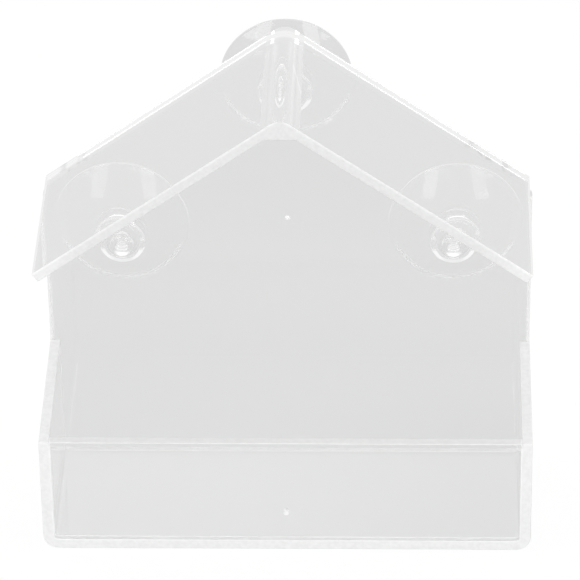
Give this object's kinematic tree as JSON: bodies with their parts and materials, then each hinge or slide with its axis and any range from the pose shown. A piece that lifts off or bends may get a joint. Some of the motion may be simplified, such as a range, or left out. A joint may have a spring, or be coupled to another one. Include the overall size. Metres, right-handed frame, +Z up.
{
  "type": "window bird feeder",
  "caption": "Clear house-shaped window feeder: bent roof, open seed tray with a low front wall, and suction cups that hold its back panel to a pane.",
  "frame": {"origin": "middle of the underside, half way from the tray's front edge to the back panel's rear face", "axes": "+X along the pane to the right seen from the front, +Y towards the pane, +Z up"},
  "size_m": [0.15, 0.0628, 0.1527],
  "materials": {
    "clear_sheet": "clear sheet with frosted cut edges",
    "soft_clear": "clear glossy soft plastic"
  },
  "bodies": {
    "house": {"back_panel": "clear_sheet", "roof": "clear_sheet", "tray": "clear_sheet", "front_wall": "clear_sheet"},
    "cup_top": {"suction_cup_top": "soft_clear"},
    "cup_left": {"suction_cup_left": "soft_clear"},
    "cup_right": {"suction_cup_right": "soft_clear"}
  },
  "joints": [
    {"name": "cup_top_turn", "type": "hinge", "parent": "house", "child": "cup_top", "pos_m": [0, 0.0275, 0.132], "axis": [0, 1, 0], "continuous": true},
    {"name": "cup_left_turn", "type": "hinge", "parent": "house", "child": "cup_left", "pos_m": [-0.051, 0.0275, 0.0805], "axis": [0, 1, 0], "continuous": true},
    {"name": "cup_right_turn", "type": "hinge", "parent": "house", "child": "cup_right", "pos_m": [0.051, 0.0275, 0.0805], "axis": [0, 1, 0], "continuous": true}
  ]
}
